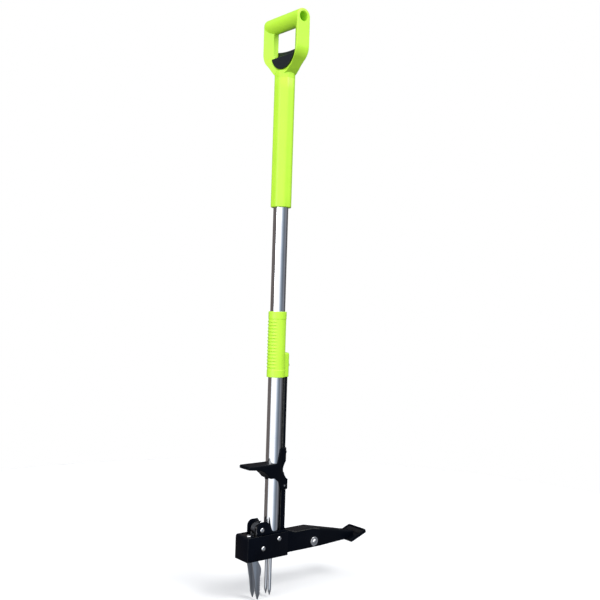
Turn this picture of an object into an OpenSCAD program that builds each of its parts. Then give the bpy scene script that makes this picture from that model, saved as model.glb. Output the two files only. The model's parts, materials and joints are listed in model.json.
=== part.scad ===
// Stand up weeder: a long steel tube with a D-handle, two fixed prongs, two serrated claws
// and a foot pedal that closes the claws as the tool is tilted back over it.
// A sleeve on the tube pushes the pedal down again, which opens the claws.
// Frame: +Z runs up the tube, the tube's axis is X = Y = 0, the pedal points along +X,
// and Z = 0 is the plane of the claw tips.

/* [Tube] */
// Outside diameter of the tube
tube_d = 25; // [24.8:0.1:25.1]
// Wall of the tube
tube_wall = 1.2; // [1:0.1:1.6]
// Height of the tube's top end
tube_top = 862; // [850:1:880]

/* [Handle] */
// Outside width of the D-handle
handle_w = 92; // [88:1:96]
// Diameter of the cross bar, and depth of the D-handle's arms
bar_d = 27; // [26:0.5:30]
// Height of the cross bar's axis
bar_z = 956.5; // [950:0.5:965]
// Diameter of the hole through the cross bar
bar_bore_d = 16; // [12:0.5:17]
// Thickness of the D-handle's arms at their middle
arm_t = 17; // [15:0.5:17.5]
// Height at which the arms start to curve inwards
yoke_z = 908; // [904:1:910]
// Width across the flats of the long grip
grip_af = 33.5; // [32:0.5:36]
// Height of the long grip's lower end
grip_bottom = 647; // [600:1:700]

/* [Slide] */
// Outside diameter of the sleeve
sleeve_d = 30.6; // [30:0.2:33]
// Height of the sleeve's lower end
sleeve_bottom = 364; // [340:1:400]
// Length of the sleeve
sleeve_l = 109.5; // [90:0.5:130]
// Distance of the push rod from the tube's axis
rod_x = 18.8; // [18.5:0.1:19.5]
// Diameter of the push rod
rod_d = 10; // [8:0.5:10]
// Top of the tongue on the clip
tongue_z = 221.4; // [221:0.1:222]
// Length of the tongue from the tube's axis
tongue_l = 59; // [50:1:65]

/* [Head] */
// Height of the housing's lower edge
head_bottom = 67; // [66:0.5:68]
// Height of the housing's top
head_top = 106.5; // [106:0.1:107]
// Length of the housing from the tube's axis to its closed end
head_back = 59; // [57:0.5:62]
// Width of the housing
head_w = 36; // [36:0.5:37]

/* [Pedal] */
// Furthest swing of the pedal, in degrees
pedal_swing = 25; // [10:1:25]
// Height of the pedal's flat top
pedal_top = 102.8; // [102:0.1:103]
// Distance of the tread's outer end from the tube's axis
tread_end = 200; // [195:1:206]
// Width of the tread
tread_w = 45; // [42:1:48]
// Slope of the tread, in degrees
tread_tilt = 20; // [15:1:25]

/* [Claws] */
// Distance from the middle plane to the middle of each claw
claw_y = 7; // [7:0.1:7.4]
// Thickness of each claw
claw_t = 2.6; // [1.6:0.1:3]
// Number of teeth on each claw
claw_teeth = 7; // [4:1:9]
// Diameter of the fixed prongs
prong_d = 5.5; // [5:0.1:6]

/* [Hidden] */
$fn = 64;
lime = [0.72, 0.93, 0.13];
black = [0.09, 0.09, 0.11];
steel = [0.80, 0.82, 0.84];
tube_r = tube_d / 2;
seat = 0.02;                    // gap where fixed pieces fit together
snug = 0.06;                    // gap round the tube's ends, in the grip, the handle and the plug
run = 0.05;                     // radial clearance of a turning fit
slip = 0.3;                     // clearance of the slide on the tube
tube_bottom = 70;
pedal_pivot = [4.3, 97.3];      // X and Z of the pedal's pivot
claw_pivot = [-28, 85.8];       // X and Z of the claws' pivot
link = [-28.7, 114.9];          // X and Z of the link rivet in the ears
push = [19, 94];                // X and Z of the push pin in the pedal
pivot_r = 3;
pin_r = 2.5;
head_sheet = 1.5;
wall_in = tube_r + 0.3;         // inner face of the pedal's side walls
wall_t = 1.6;
wall_out = wall_in + wall_t;
arm_in = wall_in - 0.1;
bolt = [83, 80];                // X and Z of the bolt in the pedal arm
tread_screw_x = [5, 12];        // places of the two screws along the tread
prong_x = -3.3;
prong_y = 5;
clip_r = 14.2;
sleeve_r = sleeve_d / 2;
bore_r = tube_r + slip;
rod_r = rod_d / 2;
bar_x0 = 13.3;                  // the push bar's inner face
bar_x1 = 23.8;
bar_half = 7;
arm_half = bar_d / 2;
window_r = handle_w / 2 - arm_t;
window_front = -3.5;            // the window is narrowest from here
window_rear = 6.5;              // to here
arm_land = 1.5;                 // what the tapered window leaves of the arms' front and back faces
neck_top = 870.5;               // where the long grip's section ends under the D
// How far the link rivet travels down the claws' slots: claws turn claw_ratio as fast as the pedal
claw_ratio = 0.44;
function turned(p, a) = [p[0] * cos(a) - p[1] * sin(a), p[0] * sin(a) + p[1] * cos(a)];
function link_at(a) = pedal_pivot + turned(link - pedal_pivot, a);
function slot_at(a) = claw_pivot + turned(link_at(a) - claw_pivot, -claw_ratio * a);

// A shape drawn in X and Z, given a thickness from y0 to y1
module side(y0, y1) {
    translate([0, y1, 0]) rotate([90, 0, 0]) linear_extrude(y1 - y0) children();
}
// A round bar along Y at point p of the X-Z plane
module across(p, r, y0, y1) {
    translate([p[0], y1, p[1]]) rotate([90, 0, 0]) cylinder(r = r, h = y1 - y0);
}
// A domed head of radius r and height h, standing on Z = 0
module dome(r, h) {
    ball = (r * r + h * h) / (2 * h);
    rotate_extrude() intersection() {
        translate([0, h - ball]) circle(r = ball, $fn = 96);
        square([r, h]);
    }
}
// A rivet along Y with a domed head outside each end
module rivet(p, r, half, head_r, head_h) {
    across(p, r, -half, half);
    translate([p[0], -half, p[1]]) rotate([90, 0, 0]) dome(head_r, head_h);
    translate([p[0], half, p[1]]) rotate([-90, 0, 0]) dome(head_r, head_h);
}
// A rectangle from corner a to corner b with corners of radius r
module soft_rect(a, b, r) {
    translate([a[0] + r, a[1]]) square([b[0] - a[0] - 2 * r, b[1] - a[1]]);
    translate([a[0], a[1] + r]) square([b[0] - a[0], b[1] - a[1] - 2 * r]);
    for (x = [a[0] + r, b[0] - r], y = [a[1] + r, b[1] - r]) translate([x, y]) circle(r = r);
}

module tube() {
    color(steel) difference() {
        translate([0, 0, tube_bottom]) cylinder(r = tube_r, h = tube_top - tube_bottom);
        translate([0, 0, tube_bottom - 1]) cylinder(r = tube_r - tube_wall, h = tube_top);
        across(pedal_pivot, pivot_r + seat, -20, 20);
        for (z = [828, 848]) across([0, z], 2 + seat, 0, 20);
    }
}

module tube_plug() {
    color(black) difference() {
        union() {
            translate([0, 0, head_bottom + 0.5]) cylinder(r = tube_r, h = 2.5 - seat);
            translate([0, 0, head_bottom + 1]) cylinder(r = tube_r - tube_wall - snug, h = 45);
        }
        across(pedal_pivot, pivot_r + seat, -20, 20);
        for (y = [-prong_y, prong_y]) translate([prong_x, y, 0]) cylinder(r = prong_d / 2 + seat, h = 96);
    }
}

module prong(y, tip) {
    point_l = 9;
    color(steel) translate([prong_x, y, tip]) {
        translate([0, 0, point_l]) cylinder(r = prong_d / 2, h = 95.8 - point_l - tip);
        cylinder(r1 = 0.5, r2 = prong_d / 2, h = point_l);
    }
}
module prong_near() { prong(-prong_y, 1.2); }
module prong_far() { prong(prong_y, 1.2); }

// Side view of the housing, drawn in by inset
module head_outline(inset) {
    corner = 4;
    left = -head_back + inset;
    top = head_top - inset;
    low = head_bottom - (inset > 0 ? 1 : 0);
    right = 23 + (inset > 0 ? 1 : 0);
    translate([left, low]) square([right - left, top - low - corner]);
    translate([left + corner, low]) square([right - left - corner, top - low]);
    translate([left + corner, top - corner]) circle(r = corner);
}
module head_housing() {
    inner = head_w / 2 - head_sheet;
    color(black) difference() {
        side(-head_w / 2, head_w / 2) head_outline(0);
        side(-inner, inner) head_outline(head_sheet);
        // opening in the top for the ears, the tube and the push bar
        translate([-44, -inner, head_top - 5]) cube([80, 2 * inner, 10]);
        for (s = [-1, 1]) translate([-49.5, s * (inner + wall_in - 0.6) / 2 - 2.15, head_top - 5])
            cube([10, 4.3, 10]);
        across(pedal_pivot, pivot_r + seat, -20, 20);
        across(claw_pivot, pivot_r + seat, -20, 20);
        translate([-50.5, -7.5, head_top - 6]) cylinder(r = 2 + seat, h = 10);
    }
}

module claw_pivot_rivet() {
    color(steel) rivet(claw_pivot, pivot_r, head_w / 2 + seat, 4, 2.2);
}
module pedal_pivot_rivet() {
    color(steel) rivet(pedal_pivot, pivot_r, head_w / 2 + seat, 4, 2.2);
}
module pivot_spacers() {
    inner = head_w / 2 - head_sheet;
    color(steel) for (s = [-1, 1]) {
        y0 = s < 0 ? -inner + seat : claw_y + claw_t / 2 + 0.2;
        y1 = s < 0 ? -claw_y - claw_t / 2 - 0.2 : inner - seat;
        difference() {
            across(claw_pivot, 4.5, y0, y1);
            across(claw_pivot, pivot_r + seat, y0 - 1, y1 + 1);
        }
    }
}
module housing_screw() {
    color(steel) translate([-50.5, -7.5, 0]) {
        translate([0, 0, head_top + seat]) dome(3.9, 2.6);
        translate([0, 0, head_top - 7]) cylinder(r = 2, h = 7 + seat + 0.1);
    }
}

module grip_section(af) {
    intersection() {
        rotate(22.5) circle(r = af / 2 / cos(22.5), $fn = 8);
        circle(r = af / 2 + 0.75);
    }
}
module long_grip() {
    color(lime) difference() {
        translate([0, 0, grip_bottom]) linear_extrude(tube_top - grip_bottom) grip_section(grip_af);
        translate([0, 0, grip_bottom - 1]) cylinder(r = tube_r + snug, h = 300);
        for (z = [828, 848]) across([0, z], 2 + seat, 0, 20);
    }
}

// Front view of the D without its cross bar, in Y and Z
module d_outline() {
    bend_r = 28;
    bend_y = handle_w / 2 - bend_r;
    side = [[handle_w / 2, bar_z],
            for (a = [0:5:45]) [bend_y + bend_r * cos(a), yoke_z + 2 - bend_r * sin(a)],
            [24, yoke_z - 31.8], [grip_af / 2, yoke_z - 37.8], [9, yoke_z - 41.5]];
    polygon([each side, for (i = [len(side) - 1:-1:0]) [-side[i][0], side[i][1]]]);
}
// The finger window in Y and Z, open at the top where the cross bar closes it
module d_window(half) {
    translate([0, yoke_z + 0.5]) circle(r = half);
    translate([-half, yoke_z]) square([2 * half, bar_z - yoke_z]);
}
// Half width of the window at depth x, in front of and behind its narrowest part
function window_at(x) = window_r + (arm_t - arm_land) * (x < 0
    ? (window_front - x) / (arm_half + window_front)
    : (x - window_rear) / (arm_half - window_rear));
module along_x(x0, x1) {
    translate([x0, 0, 0]) rotate([90, 0, 90]) linear_extrude(x1 - x0) children();
}
module d_handle() {
    over = 1;
    color(lime) difference() {
        union() {
            difference() {
                union() {
                    along_x(-arm_half + 2, arm_half - 2) d_outline();
                    along_x(-arm_half, arm_half) offset(delta = -1.5) d_outline();
                }
                // the window narrows from the front and the back to the middle
                along_x(window_front - 0.5, window_rear + 0.5) d_window(window_r);
                for (x = [[window_front, -arm_half - over], [window_rear, arm_half + over]]) hull() {
                    along_x(x[0] - 0.01, x[0] + 0.01) d_window(window_r);
                    along_x(x[1] - 0.01, x[1] + 0.01) d_window(window_at(x[1]));
                }
            }
            translate([0, handle_w / 2, bar_z]) rotate([90, 0, 0]) cylinder(r = arm_half, h = handle_w);
            translate([0, 0, tube_top + seat]) linear_extrude(neck_top - tube_top)
                grip_section(grip_af);
            translate([0, 0, tube_top - 46]) cylinder(r = tube_r - tube_wall - snug, h = 50);
        }
        translate([0, 50, bar_z]) rotate([90, 0, 0]) cylinder(r = bar_bore_d / 2, h = 100);
        for (z = [828, 848]) across([0, z], 1.6, 1, 20);
    }
}
module yoke_insert() {
    front_x = -7.5;
    lip_x = window_front - 1;
    plate_x = 8;
    scoop_r = 160;
    color([0.10, 0.11, 0.17]) {
        intersection() {
            side(-40, 40) polygon([[front_x, 870], [front_x, 898.8], [plate_x, 907], [plate_x, 870]]);
            union() {
                along_x(-20, 20) d_window(window_r - seat);
                along_x(-20, lip_x) d_window(window_at(lip_x) - 0.2);
            }
        }
        // rear plate with a scooped upper edge
        intersection() {
            along_x(plate_x - 0.01, plate_x + 3.4) difference() {
                d_window(window_at(plate_x) - seat);
                translate([0, 911.2 + scoop_r]) circle(r = scoop_r, $fn = 180);
            }
            translate([0, -40, 870]) cube([30, 80, 45]);
        }
    }
}
module handle_screws() {
    color(steel) for (z = [828, 848]) {
        across([0, z], 1.6 - seat, 2, grip_af / 2 - 1);
        across([0, z], 2, grip_af / 2 - 2.5, grip_af / 2 - 0.2);
    }
}

// The side walls of the pedal: ears over the claws' pivot, then the channel
module lever_wall() {
    ear_r = 10;
    difference() {
        union() {
            polygon([[-39, 107], [-39, 118], [-29, 128], [-18, 128], [-6, 109.5], [23, 109.5],
                     [41, pedal_top], [81, pedal_top], [95, pedal_top - 3], [95, 70], [26, 70], [8, 84],
                     [-14, 90], [-21, 100], [-21, 107]]);
            translate([-29, 118]) circle(r = ear_r);
        }
        translate(pedal_pivot) circle(r = pivot_r + run);
        translate(link) circle(r = pin_r + seat);
        translate(push) circle(r = pin_r + seat);
        translate(bolt) circle(r = 3 + seat);
    }
}
module pedal_lever() {
    color(black) {
        side(-wall_out, -wall_in) lever_wall();
        side(wall_in, wall_out) lever_wall();
        side(-wall_out + 0.4, wall_out - 0.4) translate([0, pedal_top]) polygon([[34, 2.6], [41, 0],
            [81, 0], [95, -3], [95, -3 - wall_t], [81, -wall_t], [41, -wall_t], [34, 2.6 - wall_t]]);
    }
}

// Place a shape in the tread's own frame: X up the slope, Z out of its top
module on_tread() {
    slope_l = 38;
    translate([tread_end - slope_l * cos(tread_tilt), 0, 67]) rotate([0, -tread_tilt, 0]) children();
}
module pedal_arm() {
    top_drop = wall_t + 0.1;
    color(black) difference() {
        union() {
            intersection() {
                side(-20, 20) polygon([[60, 70], [60, pedal_top - top_drop], [81, pedal_top - top_drop],
                    [95.3, pedal_top - 3 - top_drop], [95.3, pedal_top - 3], [160, 86.3], [180, 83],
                    [180, 70]]);
                linear_extrude(200) polygon([[60, -arm_in], [95.3, -arm_in], [95.3, -wall_out],
                    [150, -9.5], [180, -8.5], [180, 8.5], [150, 9.5], [95.3, wall_out],
                    [95.3, arm_in], [60, arm_in]]);
            }
        }
        // underside hollow, and the seat of the tread
        side(-arm_in + 2.5, arm_in - 2.5) polygon([[58, 60], [58, 96.6], [80, 96.6], [100, 94.4], [100, 60]]);
        intersection() {
            side(-20, 20) polygon([[99, 60], [99, 94.4], [148, 82.8], [148, 60]]);
            linear_extrude(200) polygon([[99, -10.2], [148, -6.5], [148, 6.5], [99, 10.2]]);
        }
        on_tread() translate([-30, -30, -20]) cube([90, 60, 23 + seat]);
        across(bolt, 3 + seat, -30, 30);
        for (x = tread_screw_x) on_tread() translate([x, 0, 0]) {
            cylinder(r = 1.5 + seat, h = 30);
            translate([0, 0, 7]) cylinder(r = 3.1, h = 20);
        }
    }
}
module foot_tread() {
    rim = 2.4;
    color(black) on_tread() difference() {
        union() {
            linear_extrude(3) soft_rect([0, -tread_w / 2], [38, tread_w / 2], 2.6);
            linear_extrude(6) difference() {
                soft_rect([0, -tread_w / 2], [38, tread_w / 2], 2.6);
                soft_rect([rim, -tread_w / 2 + rim], [38 - rim, tread_w / 2 - rim], 1.4);
                translate([-1, -9.7]) square([8, 19.4]);
            }
        }
        for (x = tread_screw_x) translate([x, 0, -1]) cylinder(r = 1.5 + seat, h = 10);
    }
}
module tread_pad() {
    color([0.13, 0.13, 0.14]) on_tread() {
        translate([0, 0, 3 + seat]) linear_extrude(0.8)
            soft_rect([24, -tread_w / 2 + 3.4], [35, tread_w / 2 - 3.4], 2);
        for (i = [-4:4]) translate([25, i * 4.1 - 0.8, 3.4]) cube([9, 1.6, 1.6]);
    }
}
module tread_screws() {
    color(steel) for (x = tread_screw_x) on_tread() translate([x, 0, 0]) {
        translate([0, 0, 0.5]) cylinder(r = 1.5, h = 7);
        translate([0, 0, 7 + seat]) cylinder(r = 3, h = 1.8);
    }
}
module arm_bolt() {
    color(steel) {
        across(bolt, 3, -wall_out - 2.2, wall_out + 4.6);
        translate([bolt[0], -wall_out - 1.5, bolt[1]]) rotate([90, 0, 0]) dome(3.8, 2.6);
    }
}
module arm_washer() {
    color(steel) difference() {
        across(bolt, 7.7, -wall_out - 1.5 + seat, -wall_out - seat);
        across(bolt, 3 + seat, -30, 30);
    }
}
module arm_nut() {
    color(steel) difference() {
        translate([bolt[0], wall_out + 4, bolt[1]]) rotate([90, 0, 0]) cylinder(r = 5.8, h = 4 - seat, $fn = 6);
        across(bolt, 3 + seat, -30, 30);
    }
}
module link_rivet() {
    color(steel) rivet(link, pin_r, wall_out + seat, 4, 1.7);
}
module push_pin() {
    color(steel) rivet(push, pin_r, wall_out + seat, 3.6, 1.6);
}
module return_spring() {
    half = 5.3;
    color(black) difference() {
        across(link, 9.8, -half, half);
        across(link, 7.8, -half - 1, half + 1);
    }
}

// Side view of a claw
module claw_outline() {
    tooth = 27.5 / claw_teeth;
    difference() {
        union() {
            translate(claw_pivot) circle(r = 8.5);
            polygon([[-37, 98], [-35, 86], [-42.5, 66], [-42, 60], [-36, 31], [-33.4, 11],
                     [-29.8, 0], [-28.8, 0], [-24.9, 11.5],
                     for (i = [0:claw_teeth - 1]) each [[-26.4, 12 + i * tooth],
                                                       [-24.6, 12 + (i + 1) * tooth - 0.6]],
                     [-24, 42], [-23.7, 49], [-26, 56], [-30.3, 62.5], [-29, 70], [-20.8, 80], [-22, 92],
                     for (a = [0:15:180]) link + 6.3 * [cos(a), sin(a)]]);
        }
        translate(claw_pivot) circle(r = pivot_r + run);
        hull() for (a = [0, pedal_swing]) translate(slot_at(a)) circle(r = pin_r + 0.4, $fn = 32);
    }
}
module claw_near() { color(steel) side(-claw_y - claw_t / 2, -claw_y + claw_t / 2) claw_outline(); }
module claw_far() { color(steel) side(claw_y - claw_t / 2, claw_y + claw_t / 2) claw_outline(); }
module claw_spacer() {
    half = claw_y - claw_t / 2 - seat;
    color(steel) difference() {
        across(claw_pivot, 4.2, -half, half);
        across(claw_pivot, pivot_r + run, -10, 10);
    }
}

module slide_sleeve() {
    top = sleeve_bottom + sleeve_l;
    color(lime) difference() {
        union() {
            translate([0, 0, sleeve_bottom]) cylinder(r = sleeve_r - 0.5, h = sleeve_l);
            for (z = [sleeve_bottom, top - 12]) translate([0, 0, z]) cylinder(r = sleeve_r, h = 12);
            // finger ribs
            for (i = [0:14]) translate([-sleeve_r + 3, 0, sleeve_bottom + 16 + i * 5.4])
                cylinder(r = 3.6, h = 2.2);
            translate([rod_x, 0, sleeve_bottom]) cylinder(r = 6.7, h = 41);
            translate([bore_r, -6.7, sleeve_bottom]) cube([rod_x - bore_r, 13.4, 41]);
        }
        translate([0, 0, sleeve_bottom - 1]) cylinder(r = bore_r, h = sleeve_l + 2);
        translate([rod_x, 0, sleeve_bottom - 1]) cylinder(r = rod_r + seat, h = 39 + seat);
        translate([rod_x, 0, sleeve_bottom + 20]) rotate([0, 90, 0]) cylinder(r = 1.5 + seat, h = 10);
    }
}
module push_rod() {
    color(black) difference() {
        translate([rod_x, 0, 229]) cylinder(r = rod_r, h = sleeve_bottom + 38 - 229);
        for (z = [237, sleeve_bottom + 20])
            translate([rod_x - 1, 0, z]) rotate([0, 90, 0]) cylinder(r = 1.5 + seat, h = 10);
    }
}
module step_clip() {
    waist = [35.5, 208];
    waist_r = 18.6;
    color(black) difference() {
        union() {
            translate([0, 0, 175]) cylinder(r = clip_r, h = 70);
            // tongue
            side(-11, 11) polygon([[-tongue_l, tongue_z], [-tongue_l, 215.5], [-36, 213], [-26, 208.5],
                                   [-19, 203], [-13, 197], [-4, 197], [-4, tongue_z]]);
            // socket of the push rod
            translate([rod_x, 0, 200]) cylinder(r = 6.9, h = 45);
            translate([8, -6.9, 200]) cube([rod_x - 8, 13.8, 45]);
            // socket of the push bar
            translate([8, -9.2, 175]) cube([18, 18.4, 30]);
        }
        translate([0, 0, 170]) cylinder(r = bore_r, h = 80);
        across(waist, waist_r, -20, 20);
        // slanted upper and lower ends of the collar
        side(-20, 20) polygon([[-60, tongue_z], [-6, tongue_z], [6, 246], [6, 260], [-60, 260]]);
        side(-20, 20) polygon([[-60, 170], [10, 170], [10, 178], [4, 190], [-6, 197], [-12.9, 197]]);
        translate([rod_x, 0, 229 - seat]) cylinder(r = rod_r + seat, h = 20);
        translate([bar_x0 - seat, -bar_half - seat, 170])
            cube([bar_x1 - bar_x0 + 2 * seat, 2 * bar_half + 2 * seat, 20 + seat]);
        translate([rod_x, 0, 237]) rotate([0, 90, 0]) cylinder(r = 1.5 + seat, h = 10);
        across([rod_x, 182], 1.5 + seat, -20, 20);
    }
}
module push_bar() {
    slot_half = 0.5;
    color(black) difference() {
        translate([bar_x0, -bar_half, 86]) cube([bar_x1 - bar_x0, 2 * bar_half, 190 - 86]);
        for (s = [-1, 1]) across([push[0] + s * slot_half, push[1]], pin_r + 0.35, -20, 20);
        translate([push[0] - slot_half, -20, push[1] - pin_r - 0.35])
            cube([2 * slot_half, 40, 2 * pin_r + 0.7]);
        across([rod_x, 182], 1.5 + seat, -20, 20);
    }
}
module rod_screws() {
    color(steel) for (z = [237, sleeve_bottom + 20]) {
        outer = z < 300 ? 6.9 : 6.7;
        translate([rod_x - 0.8, 0, z]) rotate([0, 90, 0]) cylinder(r = 1.5, h = outer + 0.8);
        translate([rod_x + outer, 0, z]) rotate([0, 90, 0]) dome(2.8, 1.5);
    }
}
module bar_pin() {
    color(steel) across([rod_x, 182], 1.5, -9.4, 9.4);
}

tube();
tube_plug();
prong_near();
prong_far();
head_housing();
claw_pivot_rivet();
pedal_pivot_rivet();
pivot_spacers();
housing_screw();
long_grip();
d_handle();
yoke_insert();
handle_screws();
pedal_lever();
pedal_arm();
foot_tread();
tread_pad();
tread_screws();
arm_bolt();
arm_washer();
arm_nut();
link_rivet();
push_pin();
return_spring();
claw_near();
claw_far();
claw_spacer();
slide_sleeve();
push_rod();
step_clip();
push_bar();
rod_screws();
bar_pin();
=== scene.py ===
"""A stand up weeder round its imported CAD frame: camera, light, materials and the detailed pieces."""
import json
import math

import bmesh
import bpy
from mathutils import Matrix, Vector


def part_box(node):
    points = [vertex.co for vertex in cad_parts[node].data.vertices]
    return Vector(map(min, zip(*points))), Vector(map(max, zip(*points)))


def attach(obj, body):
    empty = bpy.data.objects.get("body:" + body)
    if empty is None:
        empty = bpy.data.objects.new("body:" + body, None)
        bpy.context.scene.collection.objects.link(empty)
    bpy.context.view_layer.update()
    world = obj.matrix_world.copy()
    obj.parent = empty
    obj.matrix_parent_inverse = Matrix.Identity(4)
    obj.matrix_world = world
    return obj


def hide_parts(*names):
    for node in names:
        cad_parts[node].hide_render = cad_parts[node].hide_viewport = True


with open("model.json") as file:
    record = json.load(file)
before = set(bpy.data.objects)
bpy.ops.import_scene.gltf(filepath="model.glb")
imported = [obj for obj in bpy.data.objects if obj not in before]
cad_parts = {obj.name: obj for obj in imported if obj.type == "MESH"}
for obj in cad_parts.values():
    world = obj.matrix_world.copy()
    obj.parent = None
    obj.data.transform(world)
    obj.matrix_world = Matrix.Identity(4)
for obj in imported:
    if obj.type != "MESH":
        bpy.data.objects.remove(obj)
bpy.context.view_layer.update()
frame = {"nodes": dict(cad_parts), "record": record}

MM = 0.001
nodes = frame["nodes"]


# ---------------------------------------------------------------- places, in mm, taken from the frame

def span(node):
    """Lowest and highest corner of a CAD node, in mm."""
    low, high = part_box(node)
    return low / MM, high / MM


def centre(node):
    low, high = span(node)
    return (low + high) / 2


TUBE_LOW, TUBE_HIGH = span("tube")
TUBE_R = (TUBE_HIGH.x - TUBE_LOW.x) / 2
CLAW_PIVOT = centre("claw_pivot_rivet")
LINK = centre("link_rivet")
PUSH = centre("push_pin")
HEAD_LOW, HEAD_HIGH = span("head_housing")
D_HIGH = span("d_handle")[1]
ROD = centre("push_rod")


# ---------------------------------------------------------------- mesh helpers, all in mm

def add_object(name, data):
    obj = bpy.data.objects.new(name, data)
    bpy.context.scene.collection.objects.link(obj)
    return obj


def make_object(name, verts, faces, smooth_angle=35):
    """A mesh object from points in mm."""
    mesh = bpy.data.meshes.new(name)
    mesh.from_pydata([Vector(v) * MM for v in verts], [], faces)
    mesh.validate()
    obj = add_object(name, mesh)
    tidy_normals(obj)
    shade(obj, smooth_angle)
    return obj


def tidy_normals(obj):
    bm = bmesh.new()
    bm.from_mesh(obj.data)
    bmesh.ops.remove_doubles(bm, verts=bm.verts, dist=1e-7)
    bmesh.ops.recalc_face_normals(bm, faces=bm.faces)
    bm.to_mesh(obj.data)
    bm.free()


def shade(obj, angle=35):
    """Smooth shading that keeps edges sharper than angle, in degrees."""
    mesh = obj.data
    for poly in mesh.polygons:
        poly.use_smooth = True
    bm = bmesh.new()
    bm.from_mesh(mesh)
    for edge in bm.edges:
        folded = len(edge.link_faces) == 2 and edge.calc_face_angle() > math.radians(angle)
        edge.smooth = not folded
    bm.to_mesh(mesh)
    bm.free()


def loft(name, rings, caps=True, loop=False, smooth_angle=35):
    """A skin over rings of equal length; loop joins the last ring to the first."""
    n = len(rings[0])
    verts = [p for ring in rings for p in ring]
    faces = []
    count = len(rings)
    for i in range(count if loop else count - 1):
        j = (i + 1) % count
        for k in range(n):
            m = (k + 1) % n
            faces.append((i * n + k, i * n + m, j * n + m, j * n + k))
    if caps and not loop:
        faces.append(tuple(range(n))[::-1])
        faces.append(tuple((count - 1) * n + k for k in range(n)))
    return make_object(name, verts, faces, smooth_angle)


def lathe(name, profile, place=Matrix.Identity(4), segments=64, loop=False, smooth_angle=35):
    """Turns (radius, height) points round Z, then puts the result at place."""
    rings = []
    for radius, height in profile:
        rings.append([place @ Vector((radius * math.cos(a), radius * math.sin(a), height))
                      for a in (2 * math.pi * k / segments for k in range(segments))])
    return loft(name, rings, caps=not loop, loop=loop, smooth_angle=smooth_angle)


def cylinder_profile(radius, low, high):
    return [(0, low), (radius, low), (radius, high), (0, high)]


def arc(cx, cy, radius, a0, a1, steps):
    """Points on an arc, angles in degrees."""
    turns = [math.radians(a0 + (a1 - a0) * i / steps) for i in range(steps + 1)]
    return [(cx + radius * math.cos(t), cy + radius * math.sin(t)) for t in turns]


def prism(name, outline, y0, y1):
    """An outline in X and Z with a thickness from y0 to y1."""
    return loft(name, [[(x, y, z) for x, z in outline] for y in (y0, y1)])


def rectangle(x0, x1, z0, z1):
    return [(x0, z0), (x1, z0), (x1, z1), (x0, z1)]


def apply_modifiers(obj):
    graph = bpy.context.evaluated_depsgraph_get()
    mesh = bpy.data.meshes.new_from_object(obj.evaluated_get(graph))
    obj.modifiers.clear()
    obj.data = mesh
    return obj


def bevel(obj, width, segments=2, angle=30):
    mod = obj.modifiers.new("bevel", "BEVEL")
    mod.width = width * MM
    mod.segments = segments
    mod.limit_method = "ANGLE"
    mod.angle_limit = math.radians(angle)
    mod.harden_normals = False
    apply_modifiers(obj)
    shade(obj, 40)
    return obj


def round_folds(obj, width, segments, weight_of):
    """Rounds each edge by width times the weight that weight_of gives for its two ends, in mm."""
    bm = bmesh.new()
    bm.from_mesh(obj.data)
    layer = bm.edges.layers.float.new("bevel_weight_edge")
    for edge in bm.edges:
        edge[layer] = weight_of(*(v.co / MM for v in edge.verts))
    bm.to_mesh(obj.data)
    bm.free()
    mod = obj.modifiers.new("fold", "BEVEL")
    mod.limit_method = "WEIGHT"
    mod.width = width * MM
    mod.segments = segments
    return apply_modifiers(obj)


def boolean(obj, other, operation="DIFFERENCE"):
    mod = obj.modifiers.new("boolean", "BOOLEAN")
    mod.operation = operation
    mod.object = other
    mod.solver = "EXACT"
    apply_modifiers(obj)
    bpy.data.objects.remove(other)
    shade(obj, 35)
    return obj


def merge(name, parts):
    """Several shapes as one object."""
    bm = bmesh.new()
    for part in parts:
        bm.from_mesh(part.data)
        bpy.data.objects.remove(part)
    mesh = bpy.data.meshes.new(name)
    bm.to_mesh(mesh)
    bm.free()
    return add_object(name, mesh)


def melt(name, parts, voxel, rounds):
    """Joins closed shapes into one skin and softens its corners, as a moulding has them."""
    obj = merge(name, parts)
    remesh = obj.modifiers.new("remesh", "REMESH")
    remesh.mode = "VOXEL"
    remesh.voxel_size = voxel * MM
    soften = obj.modifiers.new("soften", "SMOOTH")
    soften.factor = 0.5
    soften.iterations = rounds
    apply_modifiers(obj)
    for poly in obj.data.polygons:
        poly.use_smooth = True
    return obj


def to_place(origin, z_axis):
    """A matrix that puts local Z along z_axis at origin."""
    turn = Vector(z_axis).to_track_quat("Z", "Y").to_matrix().to_4x4()
    return Matrix.Translation(Vector(origin)) @ turn


def dress(obj, body, material, slot, *replaced):
    """Gives a piece its material, its body and the CAD nodes that it stands for; slot is not used."""
    obj.data.materials.clear()
    obj.data.materials.append(material)
    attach(obj, body)
    if replaced:
        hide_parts(*replaced)
    return obj


# ---------------------------------------------------------------- materials

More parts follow.
